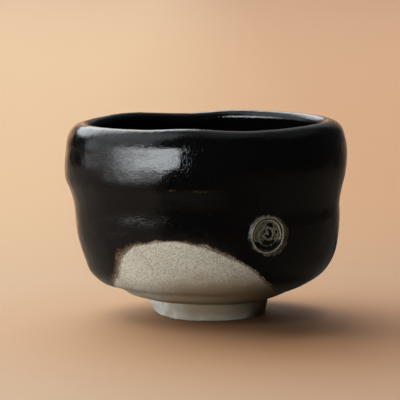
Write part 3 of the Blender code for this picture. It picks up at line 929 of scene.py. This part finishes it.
def makeSeal():
    matrix = sealFrame()
    turns = np.linspace(0, 2 * math.pi, 180, endpoint=False)
    padRadii = np.linspace(0.0002, sealForm["ring"] + 0.0006, 74)
    radii = np.append(padRadii, np.linspace(sealForm["ring"] + 0.0008, sealForm["collar"] + 0.0023, 16))
    r, t = np.meshgrid(radii, turns, indexing="ij")
    across, up = r * np.cos(t), r * np.sin(t)
    depth = wallDepth(matrix, across.ravel(), up.ravel()).reshape(r.shape)
    flat = np.stack((across, up, 0 * r), axis=-1)
    wobble = 0.00018 * roughHills(flat, 0.004, 91, 2)

    def line(at, width):
        return 1 - smoothStep(np.abs(r - at + wobble) / width - 0.35)

    fieldRadius = sealForm["ring"] - sealForm["ringGap"]
    lineWidth = sealForm["lineWidth"]
    rings = np.maximum(line(sealForm["ring"], lineWidth), line(fieldRadius, lineWidth))
    pitch = (fieldRadius - sealForm["markWidth"]) / sealForm["markTurns"]
    turnsOut = r / pitch - t / (2 * math.pi)
    offLine = np.abs(turnsOut - np.round(turnsOut)) * pitch
    mark = 1 - smoothStep(offLine / (sealForm["markWidth"] / 2) - 0.4)
    mark = mark * (1 - smoothStep((r - fieldRadius + 0.0014) / 0.0008))
    mark = mark * (0.6 + 0.5 * roughHills(flat, 0.0018, 93))
    field = 1 - smoothStep((r - fieldRadius) / 0.0006)
    groove = line(sealForm["ring"] - sealForm["ringGap"] / 2, lineWidth * 0.9)
    raggedEdge = sealForm["collar"] + sealForm["ragged"] * roughHills(flat, 0.0024, 95, 3)
    raggedEdge = raggedEdge + sealForm["crescent"] * smoothStep(np.cos(t + 0.35))
    raggedEdge = np.maximum(raggedEdge, sealForm["ring"] + 0.0005)
    slope = smoothStep((r - sealForm["ring"] - 0.0004) / (raggedEdge - sealForm["ring"]))
    face = sealForm["padRise"] + sealForm["lineRise"] * rings + sealForm["markRise"] * mark
    face = face - sealForm["fieldDepth"] * field - 0.0003 * groove
    face = face + (0.00006 + 0.00012 * field) * roughHills(flat, 0.0013, 97, 3)
    sunk = 0.0010 - 0.0009 * smoothStep((r - raggedEdge) / 0.0008)
    sunk = sunk + 0.00012 * roughHills(flat, 0.0011, 99, 2)
    z = mix(face, depth + sunk, slope)
    local = np.stack((across, up, z), axis=-1)
    toWorld = np.array(matrix)
    points = local @ toWorld[:3, :3].T + toWorld[:3, 3]
    speckle = roughHills(flat, 0.0016, 103, 2)
    raised = np.clip(0.9 * rings + 0.55 * mark + (0.3 * field + 0.5 * slope) * speckle, 0, 1)
    pool = smoothStep((sealForm["poolTop"] - up + 0.0022 * roughHills(flat, 0.0026, 101, 3)) / 0.0016)
    pool = pool * field * (1 - 0.8 * mark)
    outside = smoothStep((r - raggedEdge + 0.0007) / 0.0007)
    glazed = np.maximum(np.maximum(pool * 0.85, groove * 0.8), outside)
    glazed = np.clip(glazed + 0.35 * slope * roughHills(flat, 0.0015, 105, 2), 0, 1)
    middle = np.array((0, 0, sealForm["padRise"] - sealForm["fieldDepth"]))
    tip = toWorld[:3, :3] @ middle + toWorld[:3, 3]
    fields = {"raised": raised, "glazed": glazed}
    poles = (tip, None)
    gridPiece("sealMedallion", stampedClay, "seal_medallion", points, fields, poles=poles)


makeSeal()


studio = {
    # the camera
    "distance": 1.080,
    "height": 0.163,
    "pitch": 6.06,
    "sideways": -0.00246,
    "lens": 229.5,
    # lights of the paper: strength, then azimuth, elevation and spread in degrees
    "paperKey": (5.55, -148, 36, 88),
    "paperFill": (0.22, 0, 80, 60),
    "sky": (0.80, 0.56, 0.36, 1),
}

# Soft boxes round the bowl: (left, right, low, high) edges, how soft each edge is, and the glow.
# Left and right are azimuths from the viewer's side, low and high are elevations, all in degrees.
softBoxes = [
    # big box at the left, which makes the long highlights
    ((-97, -20, -5, 20), (50, 4, 4, 6), 8.9),
    ((-124, -78, -5, 24), (14, 26, 4, 5), 1.0),
    # diffuse panels over it and behind it
    ((-126, -40, 21, 84), (10, 11, 5, 22), 1.05),
    ((-186, -121, 13, 68), (10, 12, 7, 34), 3.1),
    # dim ceiling and back of the room
    ((-182, 182, 60, 96), (1, 1, 18, 2), 0.17),
    ((60, 182, 24, 96), (55, 1, 26, 2), 0.09),
    ((146, 182, 8, 74), (26, 1, 14, 14), 0.32),
]
paperGlow = [
    ((-182, -150, -40, 13), (1, 5, 1, 8), 0.75),
    ((152, 182, -40, 16), (26, 1, 1, 10), 0.36),
]
airTint = {
    "white": (0.96, 1.0, 1.03),
    "warm": (1.08, 0.88, 0.70),
    "peach": (1.25, 0.74, 0.45),
    "room": 0.03,
    "fromLeft": 2.3,  # on dull clay the left side counts for more than the front
    "fromFront": 0.16,
}


def bearingNode(tree, split):
    # degrees from the viewer's side towards the right
    return times(tree, mathNode(tree, "ARCTAN2", split[0], times(tree, split[1], -1.0)), 180 / math.pi)


def boxNodes(tree, across, upward, box):
    (left, right, low, high), (leftBlur, rightBlur, lowBlur, highBlur), glow = box
    pastLeft = rangeNode(tree, across, left, left + leftBlur)
    beforeRight = rangeNode(tree, across, right - rightBlur, right, 1.0, 0.0)
    overLow = rangeNode(tree, upward, low, low + lowBlur)
    underHigh = rangeNode(tree, upward, high - highBlur, high, 1.0, 0.0)
    inside = times(tree, times(tree, pastLeft, beforeRight), times(tree, overLow, underHigh))
    return times(tree, inside, glow)


def glowNodes(tree, across, upward, boxes, tint, dimmest=0.0):
    # summed glow of a list of boxes, as a colour
    total = dimmest
    for box in boxes:
        total = plus(tree, boxNodes(tree, across, upward, box), total)
    return node(tree, "VectorMath", {0: tint, "Scale": total}, operation="SCALE").outputs[0]


def makeAir():
    world = bpy.data.worlds.new("studioAir")
    bpy.context.scene.world = world
    world.use_nodes = True
    tree = world.node_tree
    split = node(tree, "SeparateXYZ", {0: node(tree, "TexCoord").outputs["Generated"]}).outputs
    azimuth = bearingNode(tree, split)
    elevation = times(tree, mathNode(tree, "ARCSINE", split[2]), 180 / math.pi)
    whiteGlow = glowNodes(tree, azimuth, elevation, softBoxes, airTint["white"], airTint["room"])
    peachGlow = glowNodes(tree, azimuth, elevation, paperGlow, airTint["peach"])
    glow = node(tree, "VectorMath", {0: whiteGlow, 1: peachGlow}, operation="ADD").outputs[0]
    path = node(tree, "LightPath").outputs
    share = rangeNode(tree, azimuth, -116, -44, airTint["fromLeft"], airTint["fromFront"])
    share = mathNode(tree, "SUBTRACT", share, 1.0)
    share = plus(tree, 1.0, times(tree, path["Is Diffuse Ray"], share))
    glow = node(tree, "VectorMath", {0: glow, "Scale": share}, operation="SCALE").outputs[0]
    air = colourMix(tree, path["Is Camera Ray"], glow, studio["sky"])
    tree.links.new(air, tree.nodes["Background"].inputs["Color"])


sweepFinish = {
    # painted light falloff: the paper's peach darkens and reddens towards the right, a little towards the
    # front, and far off (farTone)
    "backLeft": (0.385, 0.255, 0.143, 1),
    "backRight": (0.296, 0.157, 0.076, 1),
    "frontLeft": (0.334, 0.234, 0.149, 1),
    "frontRight": (0.240, 0.149, 0.094, 1),
    "farTone": (0.86, 0.84, 0.83, 1),
    # paper that is mostly in the bowl's shade looks redder
    "shade": (1.0, 0.80, 0.64, 1),
    "shadeCentre": (0.03, -0.05, 0.0),
    "shadeReach": 0.19,
    "footShade": (0.015, 0.001, 0.0),
    "underFoot": (0.40, 0.34, 0.30, 1),
    "bounce": (0.085, 0.060, 0.043, 1),
    "fibre": (0.5, 0.33, 0.2, 1),
}
# Painted reflection, the glow the paper shows only in the glaze, for what the glaze mirrors of it: left and
# right are bearings, low and high distances in metres.
boxSheen = [
    ((-92, -30, 0.22, 9.0), (34, 4, 0.34, 0.1), 2.1),
    ((-92, -30, 0.90, 9.0), (44, 4, 2.00, 0.1), 1.3),
]
paperSheen = [
    ((-170, -26, 0.02, 1.4), (12, 16, 0.03, 0.30), 0.20),
    ((-120, -60, 0.8, 9.0), (10, 30, 0.6, 0.1), 0.36),
    ((-50, 24, 0.02, 0.16), (20, 30, 0.02, 0.08), 0.16),
    ((0, 150, 0.05, 0.6), (60, 20, 0.02, 0.30), 0.05),
]
edgeSheen = [
    ((-182, -132, 0.05, 1.2), (1, 28, 0.10, 0.3), 0.32),
    ((-182, -150, 0.9, 9.0), (1, 5, 0.3, 0.1), 0.60),
    ((132, 182, 0.20, 9.0), (44, 1, 0.10, 0.1), 0.28),
]


def distanceNode(tree, place, centre):
    return node(tree, "VectorMath", {0: place, 1: centre}, operation="DISTANCE").outputs["Value"]


def sweepMaterial():
    material, tree, shader, place = newMaterial("paleSweep")
    split = node(tree, "SeparateXYZ", {0: place}).outputs
    # painted light falloff: darker and redder to the right, towards the front and far away
    across = rangeNode(tree, split[0], -0.13, 0.13)
    wider = rangeNode(tree, split[0], -0.6, 0.6)
    across = plus(tree, times(tree, across, 0.72), times(tree, wider, 0.28))
    back = rangeNode(tree, split[1], -0.25, 0.55)
    backColour = colourMix(tree, across, sweepFinish["backLeft"], sweepFinish["backRight"])
    frontColour = colourMix(tree, across, sweepFinish["frontLeft"], sweepFinish["frontRight"])
    colour = colourMix(tree, back, frontColour, backColour)
    colour = colourMix(tree, rangeNode(tree, split[1], 1.6, 6.0), colour, sweepFinish["farTone"], "MULTIPLY")
    away = distanceNode(tree, place, sweepFinish["shadeCentre"])
    shaded = rangeNode(tree, away, 0.02, sweepFinish["shadeReach"], 1.0, 0.0)
    colour = colourMix(tree, shaded, colour, sweepFinish["shade"], "MULTIPLY")
    nearFoot = rangeNode(tree, distanceNode(tree, place, sweepFinish["footShade"]), 0.022, 0.043, 1.0, 0.0)
    colour = colourMix(tree, nearFoot, colour, sweepFinish["underFoot"], "MULTIPLY")
    paper = noiseNode(tree, place, 900.0, 3.0)
    colour = colourMix(tree, rangeNode(tree, paper, 0.3, 0.7, 0.0, 0.03), colour, sweepFinish["fibre"])
    path = node(tree, "LightPath").outputs
    bounce = colourMix(tree, path["Is Diffuse Ray"], colour, sweepFinish["bounce"])
    tree.links.new(bounce, shader.inputs["Base Color"])
    shader.inputs["Roughness"].default_value = 0.95
    shader.inputs["Specular IOR Level"].default_value = 0.1
    # painted reflection: to the glaze the paper is a glow set by bearing and distance, dim but for its lit
    # left part and a sheen at the front left
    bearing = bearingNode(tree, split)
    radius = distanceNode(tree, place, (0, 0, 0))
    coolGlow = glowNodes(tree, bearing, radius, boxSheen, airTint["white"])
    warmGlow = glowNodes(tree, bearing, radius, paperSheen, airTint["warm"], airTint["room"])
    peachGlow = glowNodes(tree, bearing, radius, edgeSheen, airTint["peach"])
    mirrored = node(tree, "VectorMath", {0: coolGlow, 1: warmGlow}, operation="ADD").outputs[0]
    mirrored = node(tree, "VectorMath", {0: mirrored, 1: peachGlow}, operation="ADD").outputs[0]
    glow = node(tree, "Emission", {"Color": mirrored, "Strength": 1.0})
    surface = node(tree, "MixShader", {0: path["Is Glossy Ray"], 1: shader.outputs[0], 2: glow.outputs[0]})
    tree.links.new(surface.outputs[0], tree.nodes["Material Output"].inputs["Surface"])
    return material


def makeSweep():
    points = [(-9, -5, 0), (9, -5, 0), (9, 9, 0), (-9, 9, 0)]
    mesh = bpy.data.meshes.new("paleSweep")
    mesh.from_pydata(points, [], [(0, 1, 2, 3)])
    mesh.materials.append(sweepMaterial())
    sweep = bpy.data.objects.new("paleSweep", mesh)
    bpy.context.scene.collection.objects.link(sweep)
    return sweep


def direction(azimuth, elevation):
    a, e = math.radians(azimuth), math.radians(elevation)
    return Vector((math.sin(a) * math.cos(e), -math.cos(a) * math.cos(e), math.sin(e)))


def makePaperLight(name, paperOnly, strength, azimuth, elevation, spread):
    # lights only the paper, so that the bowl's soft shadow there can be set by itself
    light = bpy.data.lights.new(name, "SUN")
    light.energy = strength
    light.angle = math.radians(spread)
    light.color = (1.0, 0.98, 0.95)
    holder = bpy.data.objects.new(name, light)
    bpy.context.scene.collection.objects.link(holder)
    holder.rotation_euler = direction(azimuth, elevation).to_track_quat("Z", "Y").to_euler()
    holder.light_linking.receiver_collection = paperOnly
    return light


def lightPaper(sweep):
    paperOnly = bpy.data.collections.new("paperOnly")
    paperOnly.objects.link(sweep)
    makePaperLight("paperKey", paperOnly, *studio["paperKey"])
    fill = makePaperLight("paperFill", paperOnly, *studio["paperFill"])
    fill.use_shadow = False


makeAir()
lightPaper(makeSweep())
print("studio ready")

cameraData = bpy.data.cameras.new("camera")
cameraData.lens = studio["lens"]
cameraData.sensor_width = 36
camera = bpy.data.objects.new("camera", cameraData)
camera.location = (studio["sideways"], -studio["distance"], studio["height"])
camera.rotation_euler = (math.radians(90 - studio["pitch"]), 0, 0)
bpy.context.scene.collection.objects.link(camera)
bpy.context.scene.camera = camera
bpy.context.scene.view_settings.view_transform = "Standard"
